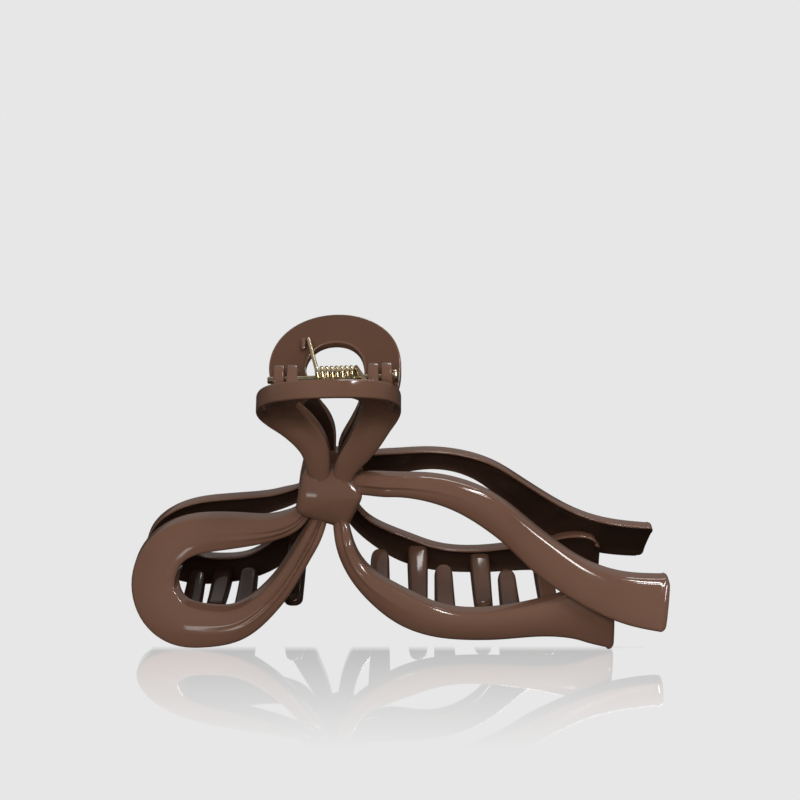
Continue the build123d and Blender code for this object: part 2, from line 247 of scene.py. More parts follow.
LOWER_ROWS = (
    # out, up, band, tuck, fold, swell
    (0.036, 0.915, 0.375, 0.036, 1.0, 0.0),
    (0.047, 0.773, 0.465, 0.047, 1.0, 0.0),
    (0.074, 0.615, 0.51, 0.074, 0.8, 0.0),
    (0.12, 0.489, 0.59, 0.12, 0.6, 0.0),
    (0.185, 0.382, 0.74, 0.185, 0.3, 0.0),
    (0.267, 0.284, 0.87, 0.267, 0.1, 0.0),
    (0.37, 0.205, 0.83, 0.37, 0.0, 0.0),
    (0.48, 0.176, 0.78, 0.48, 0.0, 0.0),
    (0.60, 0.182, 0.81, 0.60, 0.0, 0.0),
    (0.73, 0.212, 0.92, 0.73, 0.0, 0.0),
    (0.83, 0.232, 1.18, 0.83, 0.0, 0.0),
    (0.92, 0.230, 1.48, 0.92, 0.0, 0.0),
    (1.00, 0.170, 1.38, 1.00, 0.0, 0.0),
)

THROAT_SHARE = GRIP_THROAT / GRIP_SPREAD
GRIP_PROFILE = (
    # out, up
    (THROAT_SHARE * 1.16, 0.015),
    (THROAT_SHARE * 1.11, 0.091),
    (THROAT_SHARE * 1.01, 0.274),
    (THROAT_SHARE * 1.00, 0.396),
    (THROAT_SHARE * 1.11, 0.519),
    (0.292, 0.635),
    (0.429, 0.737),
    (0.665, 0.870),
    (1.000, 1.000),
)

GRIP_ROWS = (
    # across, along, band, thin
    (-0.185, 0.063, 0.49, 0.0),
    (-0.225, 0.133, 0.59, 0.0),
    (-0.285, 0.242, 0.70, 0.1),
    (-0.505, 0.350, 0.80, 0.4),
    (-0.80, 0.457, 0.90, 0.8),
    (-1.00, 0.610, 0.99, 1.0),
    (-0.866, 0.753, 1.00, 1.0),
    (-0.50, 0.855, 1.00, 1.0),
    (0.00, 0.891, 1.00, 1.0),
    (0.50, 0.855, 1.00, 1.0),
    (0.866, 0.753, 1.00, 1.0),
    (1.00, 0.610, 0.99, 1.0),
    (0.925, 0.457, 0.93, 0.8),
    (0.775, 0.350, 0.85, 0.4),
    (0.548, 0.242, 0.75, 0.1),
    (0.291, 0.133, 0.59, 0.0),
    (0.226, 0.063, 0.47, 0.0),
)

FRONT_TEETH = (
    # pitch, root, tip
    (-2.9, 0.15, 0.18),
    (-2.07, 0.18, 0.20),
    (0, 0.37, 0.34),
    (1, 0.21, 0.22),
    (2, 0.20, 0.18),
    (3, 0.20, 0.18),
)
BACK_TEETH = (
    # pitch, root, tip
    (-3.11, 0.13, 0.18),
    (-1.91, 0.40, 0.21),
    (0, 0.27, 0.21),
    (1, 0.20, 0.175),
    (2, 0.22, 0.17),
)

# Creases of a band where it meets the knot: place across, width, height
LOOP_CREASES = ((0.4, 0.3, 0.55), (-0.2, 0.3, 0.45))
UPPER_CREASES = ((0.3, 0.4, 0.4),)
LOWER_CREASES = ((0.2, 0.4, 0.4),)

# Material slots of a jaw: the plain brown, then two darker copies of it that paint shade, a deep one and a
# half one
OUTSIDE = 0
DEEP_SHADE_SLOT = 1
HALF_SHADE_SLOT = 2

# Points of a band's outline: inner face, its corners, outer edges and outer face
INNER_STEPS = 12
CORNER_STEPS = 5
EDGE_STEPS = 8
FACE_STEPS = 21

# Steps of round ends, and points round a tooth and the pin
ROUND_STEPS = 6
TOOTH_SIDES = 24
PIN_SIDES = 40

# Angles in degrees over which an edge shows as sharp
JAW_SHARP = 38
METAL_SHARP = 50

# Colours; each copy of the plastic is a share of its brown, and the two below one are painted shade on the
# inner faces, teeth and grip ring
BROWN_DEEP = (0.117, 0.059, 0.038)
BROWN_PALE = (0.137, 0.070, 0.046)
GOLD_DEEP = (0.78, 0.62, 0.36)
GOLD_PALE = (0.90, 0.76, 0.50)
OUTSIDE_SHADE = 1.0
DEEP_PAINTED_SHADE = 0.24
HALF_PAINTED_SHADE = 0.68

# Room: the backdrop that the camera sees, and the grey that the gloss sees, by height
BACKDROP = 0.799
ROOM_GREY = 0.28
ROOM_FRONT = 0.4
ROOM_FRONT_SPAN = (-0.1, 0.5)
ROOM_STOPS = ((0.0, 0.02), (0.50, 0.04), (0.58, ROOM_GREY), (0.76, ROOM_GREY), (0.88, 0.25), (1.0, 0.25))

# Floor and its mirror: strength, and where it starts and fades, in metres along Y
MIRROR = 1.0
MIRROR_ROUGH = 0.03
MIRROR_BACK = -0.0170
MIRROR_NEAR = -0.0195
MIRROR_FRONT = -0.062
FLOOR_HALF = 6.0

LIGHTS = (
    # name, place, width, height, watts, seen in the gloss
    ("front", (-0.15, -0.70, 0.48), 0.80, 0.45, 6.2, False),
    ("top", (0.26, -0.15, 0.72), 0.30, 0.05, 1.6, True),
    ("window", (0.25, -0.36, 0.75), 0.22, 0.03, 0.8, True),
    ("panel", (-0.24, -0.68, 0.17), 0.14, 0.06, 0.09, True),
    ("right", (0.56, -0.36, 0.56), 0.34, 0.05, 1.3, True),
    ("behind", (0.15, 0.55, 0.50), 0.30, 0.06, 0.8, True),
)
LIGHTS_AIM = (0, 0, 0.03)


def spline(at, values, wanted):
    """Natural cubic curve through values, one column each, read at the wanted places."""
    at = np.asarray(at, float)
    values = np.asarray(values, float)
    count = len(at)
    gap = np.diff(at)
    matrix = np.zeros((count, count))
    right = np.zeros(values.shape)
    matrix[0, 0] = matrix[-1, -1] = 1.0
    for i in range(1, count - 1):
        matrix[i, i - 1] = gap[i - 1]
        matrix[i, i] = 2 * (gap[i - 1] + gap[i])
        matrix[i, i + 1] = gap[i]
        right[i] = 6 * ((values[i + 1] - values[i]) / gap[i] - (values[i] - values[i - 1]) / gap[i - 1])
    bend = np.linalg.solve(matrix, right)
    result = []
    for t in wanted:
        k = int(np.clip(np.searchsorted(at, t) - 1, 0, count - 2))
        a = (at[k + 1] - t) / gap[k]
        b = (t - at[k]) / gap[k]
        value = a * values[k] + b * values[k + 1]
        value = value + ((a ** 3 - a) * bend[k] + (b ** 3 - b) * bend[k + 1]) * gap[k] ** 2 / 6
        result.append(value)
    return np.array(result)


def lengths_along(points):
    """Length along a line of points at each of them."""
    return np.concatenate([[0], np.cumsum(np.hypot(*np.diff(points, axis=0).T))])


def outer_face(x, z):
    """Distance of a jaw's outer face from the middle plane."""
    curl = (x - CURL_X) ** 2 * (CURL + CURL_RISE * max(z, 0.0))
    return MOUTH_HALF - LEAN * z - BELLY * z * z - curl


def smooth(value, low, high):
    """Smooth step from 0 at low to 1 at high."""
    t = min(max((value - low) / (high - low), 0.0), 1.0)
    return t * t * (3 - 2 * t)


def section(half, wall, fold=0.0, creases=(), dish=INNER_DISH, draft=0.0, hold=0.0, edge=TAIL_EDGE,
            crest=CROWN):
    """Outline of a band: (n, h) pairs, always the same count, the inner face first.

    The side towards n slopes by draft; hold is 1 where its outer edge keeps to half.
    """
    edge = min(edge, half * EDGE_LIMIT)
    heel = half - INNER_ROUND
    drop = wall - edge
    base = half + draft * hold
    top = base - draft * drop / wall
    flank = top - edge
    left_flank = half - edge
    mid = (flank - left_flank) / 2
    span = (flank + left_flank) / 2

    def crown(n):
        return wall + crest * (1 - ((n - mid) / (span + edge)) ** 2)

    points = []
    for u in np.linspace(-1, 1, INNER_STEPS + 1)[:-1]:
        n = -heel + (u + 1) / 2 * (heel + base - INNER_ROUND)
        points.append((n, dish * (1 - u ** 4)))
    for a in np.linspace(0, 90, CORNER_STEPS)[:-1]:
        c = math.radians(a)
        points.append((base - INNER_ROUND + INNER_ROUND * math.sin(c), INNER_ROUND * (1 - math.cos(c))))
    for s in (0.0, 0.5):
        h = INNER_ROUND + (drop - INNER_ROUND) * s
        points.append((base + (top - base) * s, h))
    for t in np.linspace(0, 1, EDGE_STEPS)[:-1]:
        n = ((1 - t) ** 2 + 2 * t * (1 - t)) * top + t * t * flank
        h = (1 - t) ** 2 * drop + 2 * t * (1 - t) * wall + t * t * crown(flank)
        points.append((n, h))
    for u in np.linspace(1, -1, FACE_STEPS):
        n = mid + u * span
        h = crown(n)
        rise = 0.0
        for place, width, height in creases:
            rise += height * max(0.0, 1 - abs(u - place) / width)
        points.append((n, h + fold * rise))
    for t in np.linspace(1, 0, EDGE_STEPS)[1:]:
        n = ((1 - t) ** 2 + 2 * t * (1 - t)) * half + t * t * left_flank
        h = (1 - t) ** 2 * drop + 2 * t * (1 - t) * wall + t * t * crown(-left_flank)
        points.append((-n, h))
    for s in (0.5, 0.0):
        points.append((-half, INNER_ROUND + (drop - INNER_ROUND) * s))
    for a in np.linspace(90, 0, CORNER_STEPS)[1:-1]:
        c = math.radians(a)
        points.append((-heel - INNER_ROUND * math.sin(c), INNER_ROUND * (1 - math.cos(c))))
    return points


def tube_mesh(name, rings, inside=0, slot=DEEP_SHADE_SLOT):
    """Closed mesh from rings of points in millimetres.

    The first faces of a ring, as many as inside says, take the slot of painted shade, or the ring's own
    from a list.
    """
    count = len(rings[0])
    ring_shade_slots = slot if isinstance(slot, list) else [slot] * len(rings)
    verts = [tuple(c * MM for c in p) for ring in rings for p in ring]
    faces = []
    slots = []
    for r in range(len(rings) - 1):
        for i in range(count):
            j = (i + 1) % count
            faces.append((r * count + i, r * count + j, (r + 1) * count + j, (r + 1) * count + i))
            slots.append(ring_shade_slots[r] if i < inside else OUTSIDE)
    for r, flip in ((0, True), (len(rings) - 1, False)):
        middle = np.mean(np.array(rings[r]), axis=0) * MM
        verts.append(tuple(middle))
        hub = len(verts) - 1
        for i in range(count):
            j = (i + 1) % count
            a, b = r * count + i, r * count + j
            faces.append((hub, b, a) if flip else (hub, a, b))
            slots.append(ring_shade_slots[r] if inside == count else OUTSIDE)
    mesh = bpy.data.meshes.new(name)
    mesh.from_pydata(verts, [], faces)
    mesh.update()
    mesh.polygons.foreach_set("material_index", slots)
    fix_normals(mesh)
    obj = bpy.data.objects.new(name, mesh)
    bpy.context.scene.collection.objects.link(obj)
    return obj


def fix_normals(mesh):
    """Turn all faces outwards."""
    bm = bmesh.new()
    bm.from_mesh(mesh)
    bmesh.ops.recalc_face_normals(bm, faces=bm.faces)
    if bm.calc_volume(signed=True) < 0:
        bmesh.ops.reverse_faces(bm, faces=bm.faces)
    bm.to_mesh(mesh)
    bm.free()


def path_rows(centres, columns, step=RING_STEP):
    """Even stations along the centres: place, direction and the other columns."""
    centres = np.array(centres, float)
    at = lengths_along(centres)
    total = at[-1]
    stations = np.linspace(0, total, max(int(total / step), 8))
    place = spline(at, centres, stations)
    other = spline(at, columns, stations)
    small = total * 1e-4
    ahead = spline(at, centres, np.clip(stations + small, 0, total))
    behind = spline(at, centres, np.clip(stations - small, 0, total))
    way = ahead - behind
    way = way / np.hypot(*way.T)[:, None]
    return stations, place, way, other


def knot_dip(x, z):
    """How far a band sinks where it runs under the knot's edge."""
    away = math.hypot((x - KNOT_X) / (KNOT_WIDTH / 2), (z - KNOT_Z) / (KNOT_HEIGHT / 2))
    return KNOT_DIP * (1 - smooth(away, 1.0, KNOT_DIP_END))


def jaw_band(name, rows, reach, rise, widest, side, flare, tilt, end_slant=None, creases=(), draft=0.0,
             swell=0.0, edge=TAIL_EDGE):
    """Band of a jaw along its rows; swell widens the side away from n."""
    centres = [(KNOT_X + side * row[0] * reach, row[1] * rise) for row in rows]
    columns = [(row[2] * widest / 2, row[3], row[4], row[5]) for row in rows]
    stations, place, way, other = path_rows(centres, columns)
    total = stations[-1]
    if end_slant is not None:
        goal = np.array([math.cos(math.radians(end_slant)), -math.sin(math.radians(end_slant))])
        for i, s in enumerate(stations):
            t = smooth(s, total - END_TURN, total)
            w = way[i] * (1 - t) + goal * t
            way[i] = w / np.hypot(*w)
    rings = []

    def ring(x, z, dx, dz, columns, shrink=0.0, thin=0.0):
        half, share, fold, wide = columns
        more = swell * wide / 2
        half = half + more
        raised = flare * share
        turned = tilt * share / half
        result = []
        slope = draft * min(1.0, half / DRAFT_HALF) * (1 - DRAFT_EASE * smooth(dx, *DRAFT_EASE_SPAN))
        hold = smooth(-dx, *DRAFT_HOLD_SPAN)
        outline = section(half, WALL, max(fold, 0.0), creases, draft=slope, hold=hold, edge=edge)
        for n, h in outline:
            n = n * (half - shrink) / half - more
            h = thin + h * (WALL + CROWN - 2 * thin) / (WALL + CROWN)
            px, pz = x - n * dz, z + n * dx
            if h > WALL / 2:
                h = h - knot_dip(px, pz)
            result.append((px, -(outer_face(px, pz) + raised - turned * n - WALL + h), pz))
        return result

    last = len(stations)
    if end_slant is not None:
        last = int(np.searchsorted(stations, total - END_ROUND))
    for i in range(last):
        rings.append(ring(place[i][0], place[i][1], way[i][0], way[i][1], other[i]))
    if end_slant is not None:
        x, z = place[-1]
        dx, dz = way[-1]
        for k in range(ROUND_STEPS + 1):
            a = math.radians(90 * k / ROUND_STEPS)
            back = END_ROUND * (1 - math.sin(a))
            shrink = END_ROUND * (1 - math.cos(a))
            thin = END_FACE * (1 - math.cos(a))
            rings.append(ring(x - dx * back, z - dz * back, dx, dz, other[-1], shrink, thin))
    # The inner face takes the deep painted shade
    return tube_mesh(name, rings, INNER_STEPS)


GRIP_HEIGHT = GRIP_RISE - KNOT_Z
PROFILE_POINTS = np.array([(-out * GRIP_SPREAD, KNOT_Z + up * GRIP_HEIGHT) for out, up in GRIP_PROFILE])
POINT_LENGTHS = lengths_along(PROFILE_POINTS)
PROFILE_CURVE = spline(POINT_LENGTHS, PROFILE_POINTS, np.linspace(0, POINT_LENGTHS[-1], PROFILE_STEPS))
CURVE_LENGTHS = lengths_along(PROFILE_CURVE)
PROFILE_LENGTH = CURVE_LENGTHS[-1]


def profile_place(s):
    """Place (y, z) on the grip's inner face at a length along it."""
    y = np.interp(s, CURVE_LENGTHS, PROFILE_CURVE[:, 0])
    z = np.interp(s, CURVE_LENGTHS, PROFILE_CURVE[:, 1])
    return y, z


def on_grip(x, along, height):
    """Point over the grip's inner face."""
    s = min(max(along, 0.0), PROFILE_LENGTH)
    y, z = profile_place(s)
    y0, z0 = profile_place(max(s - PROFILE_REACH, 0))
    y1, z1 = profile_place(min(s + PROFILE_REACH, PROFILE_LENGTH))
    ty, tz = y1 - y0, z1 - z0
    size = math.hypot(ty, tz)
    ty, tz = ty / size, tz / size
    y, z = y + ty * (along - s), z + tz * (along - s)
    lean = (x - HINGE_X) * math.tan(math.radians(HINGE_TILT))
    return (x, y - tz * height, z + ty * height + lean)


def grip_band(name, middle_x, reach, hole_drop):
    """Grip loop, with a thinner wall round its finger hole."""
    centres = [(middle_x + row[0] * reach, row[1] * PROFILE_LENGTH) for row in GRIP_ROWS]
    columns = [(row[2] * GRIP_BAND / 2, row[3]) for row in GRIP_ROWS]
    stations, place, way, other = path_rows(centres, columns)
    rings = []
    grip_shade_slots = []
    for (x, s), (dx, ds), (half, thin) in zip(place, way, other):
        thin = min(max(thin, 0.0), 1.0)
        # Inner face in painted shade: deep near the knot, half round the ring where the wall is thin
        grip_shade_slots.append(DEEP_SHADE_SLOT if thin < HALF_SHADE_FROM else HALF_SHADE_SLOT)
        crest = CROWN * (1 - thin)
        sharp = TAIL_EDGE + (RIM_EDGE - TAIL_EDGE) * thin
        result = []
        for n, h in section(half, WALL, dish=0.0, edge=sharp, crest=crest):
            factor = 1 - thin * (1 - GRIP_HOLE_WALL / WALL) * (1 - smooth(n / half, *HOLE_WALL_SPAN))
            n = n - RIM_PULL * thin * smooth(n / half, *RIM_PULL_SPAN)
            n = n - hole_drop * thin * smooth(-n / half, *HOLE_DROP_SPAN) * abs(dx)
            result.append(on_grip(x - n * ds, s + n * dx, h * factor))
        rings.append(result)
    return tube_mesh(name, rings, INNER_STEPS, grip_shade_slots)


def rounded_outline(points, radius, per_corner=8):
    """Closed outline with round corners; points go round once."""
    result = []
    count = len(points)
    for i in range(count):
        a = np.array(points[i - 1], float)
        b = np.array(points[i], float)
        c = np.array(points[(i + 1) % count], float)
        to_a, to_c = (a - b), (c - b)
        la, lc = np.hypot(*to_a), np.hypot(*to_c)
        to_a, to_c = to_a / la, to_c / lc
        angle = math.acos(np.clip(to_a @ to_c, -1, 1))
        cut = min(radius / math.tan(angle / 2), 0.45 * la, 0.45 * lc)
        p, q = b + to_a * cut, b + to_c * cut
        for t in np.linspace(0, 1, per_corner):
            result.append((1 - t) ** 2 * p + 2 * t * (1 - t) * b + t * t * q)
    return np.array(result)


def inset(outline, amount):
    """Outline moved inwards by an amount, along its corner normals."""
    middle = outline.mean(axis=0)
    before = np.roll(outline, 1, axis=0)
    after = np.roll(outline, -1, axis=0)
    way = after - before
    size = np.hypot(*way.T)
    size[size == 0] = 1
    way = way / size[:, None]
    normal = np.stack([-way[:, 1], way[:, 0]], axis=1)
    inward = np.sign(np.sum(normal * (middle - outline), axis=1)).mean()
    return outline + normal * amount * (1 if inward > 0 else -1)


def resample(outline, step):
    """Even points round a closed outline."""
    closed = np.vstack([outline, outline[:1]])
    at = lengths_along(closed)
    count = max(int(at[-1] / step), 12)
    wanted = np.linspace(0, at[-1], count, endpoint=False)
    return np.stack([np.interp(wanted, at, closed[:, 0]), np.interp(wanted, at, closed[:, 1])], axis=1)


def puck(name, outline, rings, place):
    """Solid from an outline: rings are (inset, height) pairs, place puts (a, b, height)."""
    result = []
    for amount, height in rings:
        moved = inset(outline, amount)
        result.append([place(a, b, height) for a, b in moved])
    return tube_mesh(name, result)


def knot(name):
    """Domed pad with five round corners, which leans back at its top."""
    points = [(KNOT_X + a * KNOT_WIDTH / 2, KNOT_Z + u * KNOT_HEIGHT / 2) for a, u in KNOT_CORNERS]
    outline = resample(rounded_outline(points, KNOT_CORNER), KNOT_STEP)
    middle = outline.mean(axis=0)
    rings = []

    def front(a, b, depth):
        start = KNOT_Z + KNOT_DROP_START
        share = max(b - start, 0.0) / (KNOT_HEIGHT / 2 - KNOT_DROP_START)
        drop = KNOT_TOP_DROP * share * share
        return (a, -(depth - drop * (depth - KNOT_SINK) / (KNOT_FRONT - KNOT_SINK)), b)

    deep = KNOT_FRONT - KNOT_SINK
    for k in range(KNOT_SIDE_STEPS):
        depth = KNOT_SINK + (deep - KNOT_ROUND) * k / KNOT_SIDE_STEPS
        rings.append([front(a, b, depth) for a, b in outline])
    for k in range(ROUND_STEPS + 1):
        c = math.radians(KNOT_TURN * k / ROUND_STEPS)
        moved = inset(outline, KNOT_ROUND * (1 - math.cos(c)))
        depth = KNOT_FRONT - KNOT_ROUND + KNOT_ROUND * math.sin(c)
        rings.append([front(a, b, depth) for a, b in moved])
    rim = inset(outline, KNOT_ROUND * (1 - math.cos(math.radians(KNOT_TURN))))
    rim_depth = KNOT_FRONT - KNOT_ROUND + KNOT_ROUND * math.sin(math.radians(KNOT_TURN))
    for share in KNOT_DOME_SHARES:
        depth = rim_depth + KNOT_DOME * (1 - share * share)
        moved = middle + (rim - middle) * share
        rings.append([front(a, b, depth) for a, b in moved])
    return tube_mesh(name, rings)


def tooth(name, x, root_z, tip_z):
    """Flat finger, narrowing and rounded at its tip."""
    root_y = -(outer_face(x, root_z) - WALL + TOOTH_SEAT)
    rings = []
    for k in range(TOOTH_STEPS + TIP_STEPS + 1):
        if k <= TOOTH_STEPS:
            t = k / TOOTH_STEPS * TIP_START
        else:
            a = math.radians(90 * (k - TOOTH_STEPS) / TIP_STEPS)
            t = TIP_START + TIP_SHARE * math.sin(a)
        t = min(t, TIP_LAST)
        y = root_y + (TOOTH_PAST - root_y) * t
        z = root_z + (tip_z - root_z) * t - 4 * TOOTH_SAG * t * (1 - t)
        half = (TOOTH_ROOT + (TOOTH_TIP - TOOTH_ROOT) * t) / 2
        thick = (TOOTH_THICK + (TOOTH_THIN - TOOTH_THICK) * t) / 2
        if t > TIP_START:
            u = (t - TIP_START) / TIP_SHARE
            cap = math.sqrt(max(1 - u * u, TIP_LEAST))
            half *= cap
            thick *= TIP_FLAT + (1 - TIP_FLAT) * cap
        ring = []
        for i in range(TOOTH_SIDES):
            a = 2 * math.pi * i / TOOTH_SIDES
            c, s = math.cos(a), math.sin(a)
            px = math.copysign(abs(c) ** TOOTH_SQUARE, c) * half
            pz = math.copysign(abs(s) ** TOOTH_SQUARE, s) * thick
            px *= 1 - TOOTH_WEDGE * pz / thick
            ring.append((x + px, y, z + pz))
        rings.append(ring)
    # Teeth in the loop hole take the deep painted shade, the others the half painted shade
    return tube_mesh(name, rings, TOOTH_SIDES, DEEP_SHADE_SLOT if x < KNOT_X else HALF_SHADE_SLOT)


def circle_hull(circles, per=40):
    """Outline round a set of circles (y, z, radius)."""
    points = []
    for y, z, r in circles:
        for i in range(per):
            a = 2 * math.pi * i / per
            points.append((y + r * math.cos(a), z + r * math.sin(a)))
    points = sorted(set(points))

    def cross(o, a, b):
        return (a[0] - o[0]) * (b[1] - o[1]) - (a[1] - o[1]) * (b[0] - o[0])

    lower, upper = [], []
    for p in points:
        while len(lower) > 1 and cross(lower[-2], lower[-1], p) <= 0:
            lower.pop()
        lower.append(p)
    for p in reversed(points):
        while len(upper) > 1 and cross(upper[-2], upper[-1], p) <= 0:
            upper.pop()
        upper.append(p)
    return np.array(lower[:-1] + upper[:-1])


def tilt_point(x, y, z):
    """Point turned with the tilt of the hinge line."""
    c, s = math.cos(math.radians(HINGE_TILT)), math.sin(math.radians(HINGE_TILT))
    dx, dz = x - HINGE_X, z - HINGE_Z
    return (HINGE_X + dx * c - dz * s, y, HINGE_Z + dx * s + dz * c)


def ear(name, centre_x):
    """Hinge ear with rounded edges, wider at its foot."""
    circles = [(0.0, HINGE_Z, EAR_ROUND)]
    for share in EAR_FOOT:
        _, y, z = on_grip(HINGE_X, share * PROFILE_LENGTH, EAR_SEAT)
        circles.append((y, z, EAR_ROOT))
    outline = resample(circle_hull(circles), EAR_STEP)
    half = EAR_WIDTH / 2
    edge = []
    for degrees in (0, 30, 60, 90):
        c = math.radians(degrees)
        edge.append((EAR_BEVEL * (1 - math.sin(c)), half - EAR_BEVEL * (1 - math.cos(c))))
    rings = [(amount, -height) for amount, height in edge] + [(0.0, 0.0)] + edge[::-1]

    def place(y, z, h):
        narrow = EAR_FOOT_WIDTH - EAR_NARROWING * smooth(z, HINGE_Z - EAR_FOOT_DROP, HINGE_Z + EAR_ROUND)
        return tilt_point(centre_x + h * narrow, y, z)

    return puck(name, outline, rings, place)


def tab(name, x):
    """Small tab on the grip's inner face that keeps a spring leg in its place."""
    along = LEG_SHARE * PROFILE_LENGTH - TAB_DROP
    half_w, half_l = TAB_WIDTH / 2, TAB_LENGTH / 2
    points = [(-half_w, -half_l), (half_w, -half_l), (half_w, half_l), (-half_w, half_l)]
    outline = resample(rounded_outline(points, TAB_CORNER), TAB_STEP)
    rings = [(0.0, -TAB_HEIGHT), (0.0, TAB_HEIGHT - TAB_ROUND), (0.12, TAB_HEIGHT - 0.08),
             (TAB_ROUND, TAB_HEIGHT)]

    def place(a, b, h):
        return on_grip(x + a, along + b, -h)

    return puck(name, outline, rings, place)


def ear_places():
    """Middles of the ears along X: the front jaw's two, then the back jaw's two."""
    step = (EAR_WIDTH + EAR_GAP) / 2
    middle = EAR_PITCH / 2
    front = (HINGE_X - middle + step, HINGE_X + middle - step)
    back = (HINGE_X - middle - step, HINGE_X + middle + step)
    return front, back


def jaw(name, teeth, first_tooth, ears, tab_x, loop_reach, grip_x, grip_half, back):
    """One moulding; the back jaw is built as a front jaw and mirrored."""
    swell = BACK_SWELL if back else 0.0
    loop_band = LOOP_BAND * loop_reach / LOOP_REACH
    parts = [
        jaw_band("upper", UPPER_ROWS, UPPER_REACH, UPPER_RISE, UPPER_BAND, 1, UPPER_FLARE, UPPER_TILT,
                 END_SLANT, UPPER_CREASES, swell=swell),
        jaw_band("lower", LOWER_ROWS, LOWER_REACH, KNOT_Z, LOWER_BAND, 1, -LOWER_TUCK, 0.0, 0.0,
                 LOWER_CREASES),
        knot("knot"),
        jaw_band("loop", LOOP_ROWS, loop_reach, KNOT_Z, loop_band, -1, LOOP_FLARE, 0.0, None,
                 LOOP_CREASES, LOOP_DRAFT, swell, LOOP_EDGE),
        grip_band("grip", grip_x, grip_half, BACK_HOLE_DROP if back else HOLE_DROP),
        tab("tab", tab_x),
    ]
    for pitch, root, tip in teeth:
        parts.append(tooth("tooth", first_tooth + pitch * TOOTH_PITCH, root * KNOT_Z, tip * KNOT_Z))
    for x in ears:
        parts.append(ear("ear", x))
    if back:
        for part in parts:
            part.data.transform(Matrix.Scale(-1, 4, (0, 1, 0)))
            part.data.flip_normals()
    return unite(name, parts)


def shade(mesh, sharp):
    """Smooth shading, apart from edges over an angle in degrees."""
    mesh.shade_smooth()
    mesh.set_sharp_from_angle(angle=math.radians(sharp))


def unite(name, parts):
    """One closed mesh from overlapping closed meshes."""
    whole = parts[0]
    whole.name = name
    for part in parts[1:]:
        mod = whole.modifiers.new("join", "BOOLEAN")
        mod.operation = "UNION"
        mod.solver = "MANIFOLD"
        mod.object = part
    depsgraph = bpy.context.evaluated_depsgraph_get()
    mesh = bpy.data.meshes.new_from_object(whole.evaluated_get(depsgraph), depsgraph=depsgraph)
    whole.modifiers.clear()
    whole.data = mesh
    mesh.name = name
    for part in parts[1:]:
        bpy.data.objects.remove(part)
    shade(mesh, JAW_SHARP)
    return whole


def spring():
    """Coil with its legs, and where it starts and ends along X."""
    radius = (COIL_DIAMETER - WIRE) / 2
    travel = COIL_LENGTH - WIRE
    left = COIL_X - travel / 2
    right = COIL_X + travel / 2
    _, cy, cz = on_grip(HINGE_X, LEG_SHARE * PROFILE_LENGTH, -(WIRE / 2 + LEG_GAP))
    back_end = np.array([left - LEG_SPLAY, -cy, cz])
    front_end = np.array([right + LEG_SPLAY, cy, cz])
    rise = back_end[2] - HINGE_Z
    top = math.atan2(rise, back_end[1]) + math.acos(radius / math.hypot(rise, back_end[1]))
    turns = COIL_TURNS + (math.pi - 2 * top) / (2 * math.pi)
    coil = []
    steps = int(turns * TURN_STEPS)
    for i in range(steps + 1):
        a = top + 2 * math.pi * turns * i / steps
        x = left + travel * i / steps
        coil.append(np.array([x, radius * math.cos(a), HINGE_Z + radius * math.sin(a)]))
    first = [back_end + (coil[0] - back_end) * s for s in np.linspace(0, LEG_END, LEG_STEPS)]
    last = [front_end + (coil[-1] - front_end) * s for s in np.linspace(LEG_END, 0, LEG_STEPS)]
    path = np.array(first + coil + last)
    path = np.array([tilt_point(*p) for p in path])
    way = np.gradient(path, axis=0)
    way /= np.linalg.norm(way, axis=1)[:, None]
    side = np.cross(way[0], (0, 0, 1.0))
    side /= np.linalg.norm(side)
    rings = []
    for p, w in zip(path, way):
        side = side - w * (side @ w)
        side /= np.linalg.norm(side)
        up = np.cross(w, side)
        rings.append([tuple(p + (side * math.cos(a) + up * math.sin(a)) * WIRE / 2)
                      for a in np.linspace(0, 2 * math.pi, WIRE_SIDES, endpoint=False)])
    obj = tube_mesh("spring_wire", rings)
    shade(obj.data, METAL_SHARP)
    return obj, left, right


def lathe(name, profile, place, sides=PIN_SIDES):
    """Round piece from (along, radius) pairs."""
    rings = []
    for along, radius in profile:
        rings.append([place(along, radius * math.cos(a), radius * math.sin(a))
                      for a in np.linspace(0, 2 * math.pi, sides, endpoint=False)])
    obj = tube_mesh(name, rings)
    shade(obj.data, METAL_SHARP)
    return obj


def pin():
    """Hinge pin, with a head at its right end."""
    front, back = ear_places()
    left = back[0] - EAR_WIDTH / 2 - PIN_END
    right = back[1] + EAR_WIDTH / 2
    r = PIN_DIAMETER / 2
    big = HEAD_DIAMETER / 2
    head = right + PIN_FIT
    profile = [(left, r * 0.3), (left + 0.02, r * 0.75), (left + 0.15, r), (left + 0.6, r),
               (HINGE_X, r), (head, r), (head, big * 0.93), (head + 0.12, big),
               (head + HEAD_LENGTH * 0.55, big), (head + HEAD_LENGTH * 0.8, big * 0.92),
               (head + HEAD_LENGTH * 0.95, big * 0.75), (head + HEAD_LENGTH, big * 0.4)]
    return lathe("pin_with_head", profile, lambda x, y, z: tilt_point(x, y, z + HINGE_Z))


def principled(name):
    material = bpy.data.materials.new(name)
    material.use_nodes = True
    tree = material.node_tree
    return material, tree.nodes, tree.links, tree.nodes["Principled BSDF"]


def noise(nodes, links, coords, scale, detail=2.0):
    """Noise over the object's own coordinates."""
    node = nodes.new("ShaderNodeTexNoise")
    node.inputs["Scale"].default_value = scale
    node.inputs["Detail"].default_value = detail
    links.new(coords.outputs["Object"], node.inputs["Vector"])
    return node.outputs["Fac"]


def ramp(nodes, links, factor, stops):
    """Colour over a factor; stops are (place, colour)."""
    node = nodes.new("ShaderNodeValToRGB")
    elements = node.color_ramp.elements
    while len(elements) < len(stops):
        elements.new(0.5)
    for element, (place, colour) in zip(elements, stops):
        element.position = place
        element.color = (*colour, 1)
    links.new(factor, node.inputs["Fac"])
    return node.outputs["Color"]


